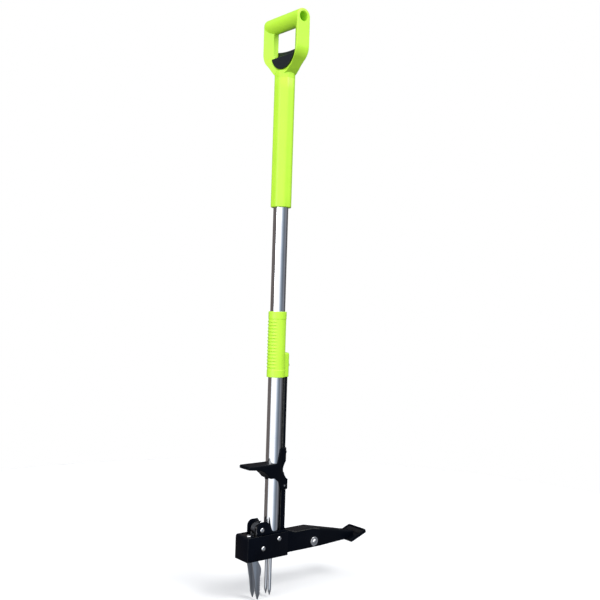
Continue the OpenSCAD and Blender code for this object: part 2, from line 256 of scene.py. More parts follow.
class Tree:
    """A node tree with short calls for what repeats."""

    def __init__(self, owner):
        owner.use_nodes = True
        self.tree = owner.node_tree
        self.tree.nodes.clear()
        self.coords = self.add("ShaderNodeTexCoord")

    def add(self, kind, **inputs):
        node = self.tree.nodes.new(kind)
        for key, value in inputs.items():
            node.inputs[key.replace("_", " ")].default_value = value
        return node

    def link(self, a, out_socket, b, in_socket):
        self.tree.links.new(a.outputs[out_socket], b.inputs[in_socket])

    def math(self, operation, a, a_socket, b, b_socket):
        node = self.add("ShaderNodeMath")
        node.operation = operation
        self.link(a, a_socket, node, 0)
        self.link(b, b_socket, node, 1)
        return node

    def ramp(self, source, socket, stops):
        node = self.add("ShaderNodeValToRGB")
        while len(node.color_ramp.elements) < len(stops):
            node.color_ramp.elements.new(0.5)
        for element, (place, colour) in zip(node.color_ramp.elements, stops):
            element.position = place
            element.color = (*colour, 1.0)
        self.link(source, socket, node, "Fac")
        return node

    def to_range(self, source, socket, low, high, from_low=0.3, from_high=0.7):
        node = self.add("ShaderNodeMapRange", From_Min=from_low, From_Max=from_high,
                        To_Min=low, To_Max=high)
        self.link(source, socket, node, "Value")
        return node

    def mix(self, first, second, factor, factor_socket):
        """From the first colour to the second; each is an RGB triple or a node and its socket."""
        node = self.add("ShaderNodeMix")
        node.data_type = "RGBA"
        self.link(factor, factor_socket, node, FACTOR)
        for place, colour in ((FIRST_COLOUR, first), (SECOND_COLOUR, second)):
            if len(colour) == 2:
                self.link(*colour, node, place)
            else:
                node.inputs[place].default_value = (*colour, 1.0)
        return node


# Places of the colour sockets on a Mix node
FACTOR, FIRST_COLOUR, SECOND_COLOUR, MIXED = 0, 6, 7, 2


class Nodes(Tree):
    """A material's tree, which ends in one principled shader."""

    def __init__(self, name):
        self.material = bpy.data.materials.new(name)
        super().__init__(self.material)
        self.out = self.add("ShaderNodeOutputMaterial")
        self.shader = self.add("ShaderNodeBsdfPrincipled")
        self.link(self.shader, "BSDF", self.out, "Surface")

    def scaled(self, scale):
        """Object coordinates stretched by scale, in cells per metre along X, Y and Z."""
        mapping = self.add("ShaderNodeMapping")
        mapping.inputs["Scale"].default_value = scale
        self.link(self.coords, "Object", mapping, "Vector")
        return mapping

    def noise(self, scale, detail=4.0, roughness=0.5):
        node = self.add("ShaderNodeTexNoise", Scale=1.0, Detail=detail, Roughness=roughness)
        self.link(self.scaled(scale), "Vector", node, "Vector")
        return node

    def bump(self, height, socket, strength, distance, before=None):
        node = self.add("ShaderNodeBump", Strength=strength, Distance=distance)
        self.link(height, socket, node, "Height")
        if before is not None:
            self.link(before, "Normal", node, "Normal")
        self.link(node, "Normal", self.shader, "Normal")
        return node

    def painted_highlight_band(self):
        """1 where a surface turns from the side faces to the others, 0 on both: the band that gets the
        painted highlight.
        """
        geometry = self.add("ShaderNodeNewGeometry")
        parts = self.add("ShaderNodeSeparateXYZ")
        self.link(geometry, "Normal", parts, "Vector")
        square = self.math("MULTIPLY", parts, "Y", parts, "Y")
        none, full = (0.0, 0.0, 0.0), (1.0, 1.0, 1.0)
        return self.ramp(square, "Value", [(0.08, none), (0.28, full), (0.72, full), (0.92, none)])

    def set(self, **values):
        for key, value in values.items():
            self.shader.inputs[key.replace("_", " ")].default_value = value


def all_ways(cells):
    return (cells, cells, cells)


def moulded_plastic(name, colour, shift, grain=900, rough=(0.34, 0.46), grain_depth=0.00006, sheen=0.5,
                    dusty=0.10):
    """Moulded plastic: slow shade changes, fine spark-eroded grain and a little handling shine."""
    n = Nodes(name)
    slow = n.noise(all_ways(14), 3.0)
    dark = tuple(c * (1 - shift) for c in colour)
    light = tuple(min(1.0, c * (1 + shift)) for c in colour)
    base = n.ramp(slow, "Fac", [(0.3, dark), (0.5, colour), (0.72, light)])
    specks = n.noise(all_ways(420), 2.0)
    dust = n.to_range(specks, "Fac", 0.0, dusty, 0.62, 0.80)
    colour_out = n.mix((base, "Color"), tuple(0.5 + 0.5 * c for c in colour), dust, "Result")
    n.link(colour_out, MIXED, n.shader, "Base Color")
    patches = n.noise(all_ways(60), 5.0, 0.6)
    gloss = n.to_range(patches, "Fac", rough[0], rough[1])
    n.link(gloss, "Result", n.shader, "Roughness")
    fine = n.noise(all_ways(grain), 3.0, 0.7)
    wave = n.noise(all_ways(45), 2.0)
    first = n.bump(wave, "Fac", 0.25, 0.0004)
    n.bump(fine, "Fac", 0.35, grain_depth * 4, first)
    n.set(IOR=1.47, Specular_IOR_Level=sheen)
    return n.material


def painted_steel(name):
    """Black powder coat: orange peel, faint dust, and a thin painted highlight on the folds, broken
    into patches.
    """
    n = Nodes(name)
    cloud = n.noise(all_ways(30), 4.0)
    base = n.ramp(cloud, "Fac", [(0.3, (0.0007, 0.0014, 0.0038)), (0.7, (0.0016, 0.0028, 0.0066))])
    edges = n.painted_highlight_band()
    # noise that breaks the painted highlight on the folds into patches
    breakup_noise = n.noise(all_ways(350), 3.0, 0.7)
    breakup_mask = n.to_range(breakup_noise, "Fac", 0.35, 1.0, 0.42, 0.62)
    both = n.math("MULTIPLY", edges, "Color", breakup_mask, "Result")
    # painted highlight: a lighter grey on the rounded folds and sheet edges, where they catch the light
    colour_out = n.mix((base, "Color"), (0.055, 0.055, 0.051), both, "Value")
    n.link(colour_out, MIXED, n.shader, "Base Color")
    smears = n.noise((80, 80, 25), 5.0, 0.65)
    gloss = n.to_range(smears, "Fac", 0.22, 0.36)
    n.link(gloss, "Result", n.shader, "Roughness")
    peel = n.noise(all_ways(520), 2.0)
    n.bump(peel, "Fac", 0.22, 0.0001)
    n.set(IOR=1.45, Specular_IOR_Level=0.12)
    return n.material


def drawn_steel(name, colour, rough, stretch, depth, anisotropy=0.0):
    """Bare steel with drawn lines; stretch gives their cells per metre along X, Y and Z."""
    n = Nodes(name)
    cloud = n.noise(all_ways(25), 4.0)
    dark = tuple(c * 0.86 for c in colour)
    base = n.ramp(cloud, "Fac", [(0.3, dark), (0.65, colour)])
    lines = n.noise(stretch, 6.0, 0.7)
    stains = n.to_range(lines, "Fac", 0.0, 0.22, 0.55, 0.75)
    colour_out = n.mix((base, "Color"), tuple(c * 0.6 for c in colour), stains, "Result")
    n.link(colour_out, MIXED, n.shader, "Base Color")
    gloss = n.to_range(lines, "Fac", rough[0], rough[1])
    n.link(gloss, "Result", n.shader, "Roughness")
    n.bump(lines, "Fac", 0.25, depth)
    n.set(Metallic=1.0, Anisotropic=anisotropy)
    return n.material


def make_rubber(name):
    """Matt black rubber with a fine grain."""
    n = Nodes(name)
    cloud = n.noise(all_ways(40), 4.0)
    base = n.ramp(cloud, "Fac", [(0.3, (0.0035, 0.0037, 0.0048)), (0.7, (0.0065, 0.0068, 0.0085))])
    n.link(base, "Color", n.shader, "Base Color")
    patches = n.noise(all_ways(120), 5.0)
    gloss = n.to_range(patches, "Fac", 0.62, 0.80)
    n.link(gloss, "Result", n.shader, "Roughness")
    fine = n.noise(all_ways(1200), 2.0)
    n.bump(fine, "Fac", 0.4, 0.0001)
    n.set(Specular_IOR_Level=0.12)
    return n.material


def make_floor(name):
    """A plain pale floor."""
    n = Nodes(name)
    cloud = n.noise(all_ways(3), 3.0)
    base = n.ramp(cloud, "Fac", [(0.3, (0.95, 0.95, 0.95)), (0.7, (0.97, 0.97, 0.97))])
    n.link(base, "Color", n.shader, "Base Color")
    n.set(Roughness=0.9, Specular_IOR_Level=0.1)
    return n.material


LIME = moulded_plastic("lime_plastic", (0.52, 0.90, 0.048), 0.04)
NAVY = moulded_plastic("navy_plastic", (0.010, 0.013, 0.020), 0.15, grain=700, rough=(0.38, 0.52),
                       sheen=0.28, dusty=0.015)
BLACK = moulded_plastic("black_plastic", (0.0012, 0.0022, 0.0048), 0.18, grain=650, rough=(0.36, 0.50),
                        sheen=0.10, dusty=0.004)
PAINT = painted_steel("black_paint")
CHROME = drawn_steel("polished_steel", (0.86, 0.88, 0.90), (0.06, 0.13), (900, 900, 4), 0.000015)
BRIGHT = drawn_steel("bright_steel", (0.80, 0.80, 0.80), (0.16, 0.30), all_ways(500), 0.00003)
BLADE = drawn_steel("blade_steel", (0.60, 0.63, 0.67), (0.26, 0.40), (1400, 1400, 30), 0.00003, 0.4)
SPRING = drawn_steel("spring_steel", (0.055, 0.058, 0.065), (0.25, 0.42), all_ways(600), 0.00003)
RUBBER = make_rubber("black_rubber")
FLOOR = make_floor("floor")
SLOT_MATERIAL = {"polished_steel": CHROME, "bright_steel": BRIGHT, "blade_steel": BLADE,
                 "spring_steel": SPRING, "black_paint": PAINT, "black_plastic": BLACK,
                 "black_rubber": RUBBER, "lime_plastic": LIME, "navy_plastic": NAVY}
SLOT_OF = {row["node"]: row["material_slot"] for row in frame["record"]["subparts"]}
for name, obj in nodes.items():
    obj.data.materials.clear()
    obj.data.materials.append(SLOT_MATERIAL[SLOT_OF[name]])


# ---------------------------------------------------------------- stage, light and camera

def make_stage():
    """A round pale floor under the object."""
    edge = [(x, y, FLOOR_Z) for x, y in arc(0, 0, 1200, 0, 360, 96)[:-1]]
    obj = make_object("stage_floor", edge, [tuple(range(len(edge)))])
    obj.data.materials.append(FLOOR)
    obj.visible_glossy = False
    obj.visible_diffuse = False


def make_world():
    """Soft studio light: a white front, grey sides and a ceiling that darkens to the back.

    The camera itself sees plain white behind the object."""
    world = bpy.data.worlds.new("world")
    bpy.context.scene.world = world
    t = Tree(world)

    def along(direction):
        dot = t.add("ShaderNodeVectorMath")
        dot.operation = "DOT_PRODUCT"
        t.link(t.coords, "Generated", dot, 0)
        dot.inputs[1].default_value = direction
        return dot

    def soft_step(source, socket, start, end):
        node = t.to_range(source, socket, 0.0, 1.0, start, end)
        node.interpolation_type = "SMOOTHSTEP"
        return node

    to_right, to_camera = along(RIGHT), along(-AHEAD)
    angle = t.math("ARCTAN2", to_right, "Value", to_camera, "Value")
    turn = t.to_range(angle, "Value", 0.0, 1.0, -math.pi, math.pi)
    walls = t.ramp(turn, "Result", [((degrees + 180) / 360, colour) for degrees, colour in WALLS])
    height = t.add("ShaderNodeSeparateXYZ")
    t.link(t.coords, "Generated", height, 0)
    low = t.mix((walls, "Color"), GROUND, soft_step(height, "Z", -0.34, -0.62), "Result")
    ceiling = t.mix(CEILING_BACK, CEILING, soft_step(to_camera, "Value", -0.45, 0.15), "Result")
    light = t.mix((low, MIXED), (ceiling, MIXED), soft_step(height, "Z", 0.34, 0.66), "Result")
    path = t.add("ShaderNodeLightPath")
    seen = t.mix((light, MIXED), (1.0, 1.0, 1.0), path, "Is Camera Ray")
    background = t.add("ShaderNodeBackground")
    t.link(seen, MIXED, background, "Color")
    out = t.add("ShaderNodeOutputWorld")
    t.link(background, "Background", out, "Surface")


def make_light(name, azimuth, distance, height, size, power, aim_z=0.5):
    """A soft box at an azimuth in degrees from the camera's side, positive to its right."""
    side = math.radians(azimuth)
    place = (RIGHT * math.sin(side) - AHEAD * math.cos(side)) * distance
    place.z = height
    data = bpy.data.lights.new(name, "AREA")
    data.shape = "RECTANGLE"
    data.size, data.size_y = size
    data.energy = power
    light = add_object(name, data)
    light.location = place
    light.rotation_euler = (Vector((0, 0, aim_z)) - place).to_track_quat("-Z", "Y").to_euler()


def make_camera():
    """A level camera at the photographed viewing angle, rolled a little."""
    data = bpy.data.cameras.new("camera")
    data.sensor_width = 36.0
    data.lens = CAMERA_LENS
    camera = add_object("camera", data)
    up = Vector((0, 0, 1))
    x_axis = RIGHT * math.cos(CAMERA_ROLL) + up * math.sin(CAMERA_ROLL)
    y_axis = up * math.cos(CAMERA_ROLL) - RIGHT * math.sin(CAMERA_ROLL)
    turn = Matrix((x_axis, y_axis, -AHEAD)).transposed()
    camera.matrix_world = Matrix.Translation(CAMERA_PLACE) @ turn.to_4x4()
    bpy.context.scene.camera = camera


VIEW_TURN = math.radians(39)        # the camera looks this far from +Y towards +X
CAMERA_LENS = 50.28
CAMERA_ROLL = math.radians(1.78)
CAMERA_PLACE = Vector((-0.8531, -1.1118, 0.4939))

AHEAD = Vector((math.sin(VIEW_TURN), math.cos(VIEW_TURN), 0))
RIGHT = Vector((math.cos(VIEW_TURN), -math.sin(VIEW_TURN), 0))
FLOOR_Z = -2.0
CEILING = (1.55, 1.57, 1.60)
CEILING_BACK = (0.25, 0.26, 0.28)
GROUND = (0.15, 0.155, 0.165)
# What stands round the object: degrees from the camera's side, positive to its right, and a colour.
WALLS = (
    (-180, (0.16, 0.14, 0.135)), (-68, (0.16, 0.14, 0.135)), (-57, (1.25, 1.27, 1.32)),
    (14, (1.25, 1.27, 1.32)), (26, (0.75, 0.80, 0.93)), (38, (0.36, 0.43, 0.51)),
    (54, (0.22, 0.26, 0.32)), (68, (0.155, 0.18, 0.22)), (80, (0.20, 0.21, 0.24)),
    (90, (0.28, 0.29, 0.33)), (102, (0.20, 0.21, 0.24)), (116, (0.10, 0.10, 0.11)),
    (150, (0.09, 0.088, 0.095)), (180, (0.13, 0.12, 0.12)))

bpy.context.scene.view_settings.view_transform = "Standard"
make_world()
make_light("key", 60, 2.0, 2.3, (1.1, 1.1), 36)
make_light("fill", -42, 2.3, 0.75, (1.2, 1.0), 17, 0.6)
make_stage()
make_camera()


# ---------------------------------------------------------------- small shapes

def rivet_profile(radius, half, head_r, head_h, dimple=0.25):
    """Radius and height from the far head's crown to the near head's crown."""
    crown = [(0, head_h - dimple), (head_r * 0.16, head_h - dimple), (head_r * 0.26, head_h * 0.99)]
    crown += [(head_r * math.cos(t), 0.3 + (head_h - 0.3) * math.sin(t)) for t in
              (math.radians(a) for a in (68, 58, 48, 38, 28, 18, 9, 0))]
    crown += [(head_r, 0.12), (head_r - 0.12, 0)]
    near = [(r, half + h) for r, h in crown]
    far = [(r, -half - h) for r, h in crown]
    return far + [(radius, -half), (radius, half)] + near[::-1]


def make_rivet(node, radius, half, head_r, head_h):
    """A rivet along Y with a domed head at each end."""
    middle = centre(node)
    place = to_place((middle.x, 0, middle.z), (0, -1, 0))
    obj = lathe("detail_" + node, rivet_profile(radius, half, head_r, head_h), place, 48)
    body = "pedal" if node in ("link_rivet", "push_pin") else "root"
    return dress(obj, body, BRIGHT, "bright_steel", node)


def cross_cutter(size, depth, place):
    """A cross recess that narrows downwards from local Z = 0."""
    a, b = size, size * 0.22
    plus = [(b, b), (b, a), (-b, a), (-b, b), (-a, b), (-a, -b), (-b, -b), (-b, -a), (b, -a), (b, -b),
            (a, -b), (a, b)]
    levels = ((1.1, 1), (1, 0), (0.45, -depth))
    return loft("cutter", [[place @ Vector((x * s, y * s, z)) for x, y in plus] for s, z in levels])


def screw_head(name, place, radius, height, shank_r, shank_l):
    """A pan head with a cross recess, its seat at local Z = 0 and its shank below."""
    top = [(radius * math.sin(t), height * (0.45 + 0.55 * math.cos(t))) for t in
           (math.radians(a) for a in (0, 14, 28, 42, 56, 70, 80, 90))]
    profile = top + [(radius, 0.15), (radius - 0.15, 0), (shank_r, 0)]
    profile += [(shank_r, -shank_l), (0, -shank_l)]
    obj = lathe(name, profile, place, 40)
    deep = place @ Matrix.Translation((0, 0, height))
    return boolean(obj, cross_cutter(radius * 0.55, height * 0.7, deep))


def join(name, parts):
    """Several closed shapes that don't meet, as one shaded object."""
    obj = merge(name, parts)
    shade(obj, 38)
    return obj


def make_screws():
    """The housing's screw and those of the handle, the tread and the push rod."""
    middle, top = centre("housing_screw"), span("housing_screw")[1]
    place = Matrix.Translation((middle.x, middle.y, HEAD_HIGH.z))
    housing = screw_head("detail_housing_screw", place, 3.9, top.z - HEAD_HIGH.z, 2.0, 6.5)
    dress(housing, "root", BRIGHT, "bright_steel", "housing_screw")

    low, high = span("handle_screws")
    heads = [screw_head("screw", to_place((0, high.y - 2.1, z), (0, 1, 0)), 2.0, 2.0, 1.5, 8)
             for z in (low.z + 2, high.z - 2)]
    dress(join("detail_handle_screws", heads), "root", BRIGHT, "bright_steel", "handle_screws")

    seats = [to_place(tread_point(x, 0, TREAD_SCREW_SEAT), TREAD_UP) for x in TREAD_SCREW_X]
    heads = [screw_head("screw", seat, 3.0, 1.75, 1.45, 6.4) for seat in seats]
    dress(join("detail_tread_screws", heads), "pedal", BRIGHT, "bright_steel", "tread_screws")

    low, high = span("rod_screws")
    heads = [screw_head("screw", to_place((x, 0, z), (1, 0, 0)), 2.8, 1.5, 1.45, 6)
             for x, z in ((high.x - 1.5, low.z + 2.8), (high.x - 1.7, high.z - 2.8))]
    dress(join("detail_rod_screws", heads), "slide", BRIGHT, "bright_steel", "rod_screws")


def make_arm_bolt():
    """The bolt through the pedal arm with its washer and nut."""
    high = span("arm_bolt")[1]
    x, z = centre("arm_bolt").x, centre("arm_bolt").z
    seat = -span("arm_washer")[0].y
    place = to_place((x, 0, z), (0, -1, 0))
    head = [(3.8 * math.sin(t), seat + 0.4 + 2.2 * math.cos(t)) for t in
            (math.radians(a) for a in (0, 15, 30, 45, 60, 75, 90))]
    profile = head + [(3.8, seat), (3.0, seat), (3.0, -11)]
    thread_from, thread_to, pitch = -11, -high.y + 0.5, 0.5
    turns = int((thread_from - thread_to) / pitch)
    for i in range(turns):
        profile += [(2.72, thread_from - (i + 0.5) * pitch), (3.0, thread_from - (i + 1) * pitch)]
    profile += [(2.5, -high.y), (0, -high.y)]
    dress(lathe("detail_arm_bolt", profile, place, 48), "pedal", BRIGHT, "bright_steel", "arm_bolt")

    wash_low, wash_high = span("arm_washer")
    outer, inner = (wash_high.x - wash_low.x) / 2, 3.1
    near, far = -wash_low.y, -wash_high.y
    edge = 0.3
    ring = [(inner, near - edge), (inner + edge, near), (outer - edge, near), (outer, near - edge),
            (outer, far + edge), (outer - edge, far), (inner + edge, far), (inner, far + edge)]
    washer = lathe("detail_arm_washer", ring, place, 64, loop=True)
    dress(washer, "pedal", BRIGHT, "bright_steel", "arm_washer")

    nut_low, nut_high = span("arm_nut")
    flats, bore, chamfer = (nut_high.z - nut_low.z) / 2, 3.02, 0.7
    y0, y1 = nut_low.y, nut_high.y
    round_r = flats / math.cos(math.radians(30)) * 0.985
    rings, end_r = [], flats + 0.05
    for y, limit in ((y0, end_r), (y0 + chamfer, round_r), (y1 - chamfer, round_r), (y1, end_r)):
        ring = []
        for k in range(96):
            a = 2 * math.pi * k / 96
            hexagon = flats / math.cos((a + math.pi / 6) % (math.pi / 3) - math.pi / 6)
            radius = min(hexagon, limit)
            ring.append((x + radius * math.sin(a), y, z + radius * math.cos(a)))
        rings.append(ring)
    for y in (y1, y0):
        rings.append([(x + bore * math.sin(a), y, z + bore * math.cos(a))
                      for a in (2 * math.pi * k / 96 for k in range(96))])
    nut = loft("detail_arm_nut", rings, loop=True, smooth_angle=25)
    dress(nut, "pedal", BRIGHT, "bright_steel", "arm_nut")


# ---------------------------------------------------------------- the tube and the prongs

def make_tube():
    """The polished tube with broken edges at its ends."""
    wall, edge = 1.2, 0.25
    low, high, outer = TUBE_LOW.z, TUBE_HIGH.z, TUBE_R
    inner = outer - wall
    profile = [(inner, low + edge), (inner + edge, low), (outer - edge, low), (outer, low + edge)]
    profile += [(outer, low + edge + (high - low - 2 * edge) * i / 24) for i in range(1, 24)]
    profile += [(outer, high - edge), (outer - edge, high), (inner + edge, high), (inner, high - edge)]
    obj = lathe("detail_tube", profile, segments=96, loop=True)
    dress(obj, "root", CHROME, "polished_steel", "tube")


def make_prong(node):
    """A round prong ground to a slightly rounded point."""
    low, high = span(node)
    radius, middle, point = (high.x - low.x) / 2, centre(node), 9.0
    profile = [(0, low.z)]
    for i in range(1, 13):
        t = i / 12
        profile.append((0.45 + (radius - 0.45) * t ** 0.9, low.z + 0.25 + (point - 0.25) * t))
    profile += [(radius, low.z + 12), (radius, high.z - 0.3), (radius - 0.3, high.z), (0, high.z)]
    place = Matrix.Translation((middle.x, middle.y, 0))
    obj = lathe("detail_" + node, profile, place, 40)
    dress(obj, "root", BLADE, "blade_steel", node)


# ---------------------------------------------------------------- the grips

def octagon_ring(flats, z, shrink=0.0, count=192):
    """A rounded octagon with its flats across X and Y."""
    ring = []
    for k in range(count):
        a = 2 * math.pi * (k + 0.5) / count
        across = (a + math.pi / 8) % (math.pi / 4) - math.pi / 8
        corner = flats / 2 + 0.75
        straight = flats / 2 / math.cos(across)
        soft = 8 * corner
        radius = (straight ** -soft + corner ** -soft) ** (-1 / soft) - shrink
        ring.append((radius * math.cos(a), radius * math.sin(a), z))
    return ring


def circle_ring(radius, z, count=192):
    """A round ring with as many points as an octagon_ring."""
    return [(radius * math.cos(a), radius * math.sin(a), z)
            for a in (2 * math.pi * (k + 0.5) / count for k in range(count))]


def make_long_grip():
    """The long eight-sided grip, hollow for the tube and rounded at its lower end."""
    low, high = span("long_grip")
    flats, bore = GRIP_FLATS, TUBE_R + 0.06
    rings = []
    fillet = 1.6
    for i in range(6):
        t = math.radians(90 * i / 5)
        rings.append(octagon_ring(flats, low.z + fillet * (1 - math.sin(t)),
                                  fillet * (1 - math.cos(t))))
    rings = rings[::-1]
    for i in range(1, 12):
        rings.append(octagon_ring(flats, low.z + fillet + (high.z - low.z - fillet - 0.1) * i / 11))
    rings.append(octagon_ring(flats, high.z, 0.08))
    rings += [circle_ring(bore, high.z), circle_ring(bore, low.z + 1.2),
              circle_ring(bore + 0.5, low.z + 0.3)]
    obj = loft("detail_long_grip", rings, loop=True, smooth_angle=50)
    dress(obj, "root", LIME, "lime_plastic", "long_grip")


def window_outline(half, top):
    """The finger window in Y and Z: a round bottom and straight sides up to top."""
    points = arc(0, YOKE_Z + 0.5, half, 180, 360, 40)
    return [(half, top)] + [(-half, top)] + points[:-1] + [points[-1]]


def prism_x(name, outline, x0, x1):
    """An outline in Y and Z with a thickness from x0 to x1."""
    return loft(name, [[(x, y, z) for y, z in outline] for x in (x0, x1)])


def d_outline():
    """The outside of the D in Y and Z, up to the cross bar's axis."""
    half, bend = D_HIGH.y, 28.0
    right = [(half, BAR_Z)] + arc(half - bend, YOKE_Z + 2, bend, 0, -45, 9)
    right += [(24, YOKE_Z - 31.8), (GRIP_FLATS / 2, YOKE_Z - 37.8), (9, YOKE_Z - 41.5)]
    return right + [(-y, z) for y, z in right[::-1]]


def taper_at(x):
    """Half width of the tapered finger window at depth x."""
    spread = D_HIGH.y - ARM_LAND - WINDOW_HALF
    if x < 0:
        return WINDOW_HALF + spread * (WINDOW_FRONT - x) / (D_DEPTH + WINDOW_FRONT)
    return WINDOW_HALF + spread * (x - WINDOW_REAR) / (D_DEPTH - WINDOW_REAR)


def make_d_handle():
    """The moulded D: arms and yoke round a tapered window, a hollow bar and a neck."""
    shell = prism_x("d", d_outline(), -D_DEPTH, D_DEPTH)
    bevel(shell, 1.8, 4, 40)
    beyond = D_DEPTH + 2
    rings = [[(x, y, z) for y, z in window_outline(taper_at(x), BAR_Z + 5)]
             for x in (-beyond, WINDOW_FRONT, WINDOW_REAR, beyond)]
    shell = boolean(shell, loft("window", rings))
    half, round_r = D_HIGH.y, 1.8
    ends = [(D_DEPTH - round_r + round_r * math.sin(t), half - round_r + round_r * math.cos(t)) for t in
            (math.radians(a) for a in (0, 30, 60, 90))]
    profile = [(0, half)] + ends + [(r, -y) for r, y in ends[::-1]] + [(0, -half)]
    bar = lathe("bar", profile, to_place((0, 0, BAR_Z), (0, 1, 0)), 128)
    seam = TUBE_HIGH.z + 0.02
    obj = melt("detail_d_handle", [shell, bar], 0.6, 4)
    rings = [octagon_ring(GRIP_FLATS, seam, 0.08), octagon_ring(GRIP_FLATS, seam + 0.1),
             octagon_ring(GRIP_FLATS, NECK_TOP), octagon_ring(GRIP_FLATS - 4, NECK_TOP + 3)]
    obj = boolean(obj, loft("neck", rings, smooth_angle=50), "UNION")
    bore_r, mouth = 8.0, 0.8
    wide = bore_r + mouth + 2
    bore = [(wide, -half - 2), (bore_r, -half + mouth), (bore_r, half - mouth), (wide, half + 2)]
    obj = boolean(obj, lathe("bore", bore, to_place((0, 0, BAR_Z), (0, 1, 0)), 96))
    dress(obj, "root", LIME, "lime_plastic", "d_handle")


def make_yoke_insert():
    """The dark filler in the bottom of the D, with a lip in front and a scooped plate behind it."""
    low, high = span("yoke_insert")
    front_z, rear_z, foot_z = 898.8, 907.0, 870.0
    lip_x = WINDOW_FRONT - 1
    lip_z = front_z + (rear_z - front_z) * (lip_x - low.x) / (PLATE_X - low.x)
    slope = [(low.x, foot_z), (low.x, front_z), (PLATE_X, rear_z), (PLATE_X, foot_z)]
    wedge = prism("wedge", slope, -40, 40)
    front = boolean(wedge, prism_x("w", window_outline(WINDOW_HALF - 0.05, 940), -20, 20), "INTERSECT")
    lip = prism("lip", [(low.x, foot_z), (low.x, front_z), (lip_x, lip_z), (lip_x, foot_z)], -40, 40)
    lip = boolean(lip, prism_x("w", window_outline(taper_at(lip_x) - 0.2, 940), -20, 20), "INTERSECT")
    front = boolean(front, lip, "UNION")
    bevel(front, 0.5, 3, 40)
    half = taper_at(PLATE_X) - 0.05
    sides = arc(0, YOKE_Z + 0.5, half, 180, 360, 40)
    scoop_r, scoop_z, steps = 160, 911.2, 24
    across = [half - 2 * half * i / steps for i in range(steps + 1)]
    scoop = [(y, scoop_z + scoop_r - math.sqrt(scoop_r ** 2 - y * y)) for y in across]
    plate = prism_x("plate", sides[:-1] + scoop[:-1], PLATE_X - 0.3, high.x)
    bevel(plate, 0.6, 3, 40)
    obj = boolean(front, plate, "UNION")
    obj.name = "detail_yoke_insert"
    shade(obj, 40)
    dress(obj, "root", NAVY, "navy_plastic", "yoke_insert")


# ---------------------------------------------------------------- the head

def folded_box(name, left, right, low, top, half, corner, fold):
    """The housing's outer or inner shape, with a rounded upper back corner and rounded folds."""
    curve = arc(left + corner, top - corner, corner, 180, 90, 8)
    obj = prism(name, [(right, top), (right, low), (left, low)] + curve, -half, half)

    def weight(a, b):
        on_side = abs(abs(a.y) - half) < 0.01 and abs(a.y - b.y) < 0.01
        at_foot, at_mouth = max(a.z, b.z) < low + 0.1, min(a.x, b.x) > right - 0.1
        if not on_side or at_foot or at_mouth:
            return 0.0
        return 1.0 if max(a.x, b.x) < left + 0.1 else 0.6

    return round_folds(obj, fold, 5, weight)


def make_housing():
    """A folded sheet housing: top, two sides and a closed back with a rounded corner."""
    left, right, low, top = HEAD_LOW.x, HEAD_HIGH.x, HEAD_LOW.z, HEAD_HIGH.z
    half, sheet, corner, fold = HEAD_HIGH.y, 1.5, 4.0, 3.5
    obj = folded_box("housing", left, right, low, top, half, corner, fold)
    obj = boolean(obj, folded_box("hollow", left + sheet, right + 2, low - 2, top - sheet, half - sheet,
                                  corner - sheet, fold - sheet))
    gap, slot_end, notch_end = half - sheet, -44, -49.5
    slot = rectangle(slot_end, right + 5, top - 5, top + 5)
    obj = boolean(obj, prism("slot", slot, -gap, gap))
    for side in (-1, 1):
        y0, y1 = sorted((side * EAR_SLOT_IN, side * gap))
        obj = boolean(obj, prism("notch", rectangle(notch_end, slot_end + 4, top - 5, top + 5), y0, y1))
    obj.name = "detail_head_housing"
    bevel(obj, 0.22, 2, 50)
    shade(obj, 35)
    dress(obj, "root", PAINT, "black_paint", "head_housing")


def ear_outline():
    """Side view of the pedal's side plates, from the ears over the claws to the end of the channel."""
    ear_r, cx, cz = 10.0, -29.0, 118.0
    points = [(-39, 107)] + arc(cx, cz, ear_r, 180, 90, 10)
    points += arc(-18.8, 127.2, 0.8, 90, 30, 4) + [(-6, 109.5), (23, 109.5)]
    points += [(41, PEDAL_TOP), (81, PEDAL_TOP), (95, PEDAL_TOP - 3), (95, 70), (26, 70), (8, 84)]
    points += [(-14, 90), (-21, 100), (-21, 107)]
    return points


def make_lever():
    """The pedal's folded steel channel with its two ears."""
    half, sheet, top = span("pedal_lever")[1].y, 1.6, PEDAL_TOP
    obj = prism("lever", ear_outline(), -half, half)

    def weight(a, b):
        on_side = abs(abs(a.y) - half) < 0.01 and abs(a.y - b.y) < 0.01
        return 1.0 if on_side and min(a.x, b.x) > 22 and min(a.z, b.z) > top - 3.1 else 0.0

    obj = round_folds(obj, 1.9, 4, weight)
    cut = [(34, 140), (-60, 140), (-60, 60), (100, 60), (100, top - 4 - sheet), (95, top - 3 - sheet),
           (81, top - sheet), (41, top - sheet), (34, top + 2.6 - sheet)]
    obj = boolean(obj, prism("hollow", cut, -half + sheet, half - sheet))
    obj.name = "detail_pedal_lever"
    bevel(obj, 0.22, 2, 50)
    shade(obj, 35)
    dress(obj, "pedal", PAINT, "black_paint", "pedal_lever")


def claw_outline():
    """Side view of a claw: upper arm, hub, shank and the toothed blade down to its point."""
    cx, cz = CLAW_PIVOT.x, CLAW_PIVOT.z
    lx, lz = LINK.x, LINK.z
    teeth, first, last = 7, 12.0, 39.5
    pitch = (last - first) / teeth
    points = [(-37, 98), (-36.2, 91.5)] + arc(cx, cz, 8.6, 165, 205, 6)
    points += [(-42.5, 66), (-42, 60), (-36, 31), (-33.4, 11), (-29.8, 0), (-28.8, 0), (-24.9, 11.5)]
    for i in range(teeth):
        points += [(-26.4, first + i * pitch), (-24.6, first + (i + 1) * pitch - 0.6)]
    points += [(-24, 42), (-23.7, 49), (-26, 56), (-30.3, 62.5), (-29, 70)]
    points += arc(cx, cz, 8.6, -35, 20, 8) + [(-21.2, 96)]
    points += arc(lx, lz, 6.3, 0, 180, 14)
    return points


def make_claw(node):
    """A toothed claw cut from sheet, with ground edges."""
    low, high = span(node)
    obj = prism("detail_" + node, claw_outline(), low.y, high.y)
    bevel(obj, 0.35, 2, 25)
    shade(obj, 30)
    dress(obj, "claws", BLADE, "blade_steel", node)


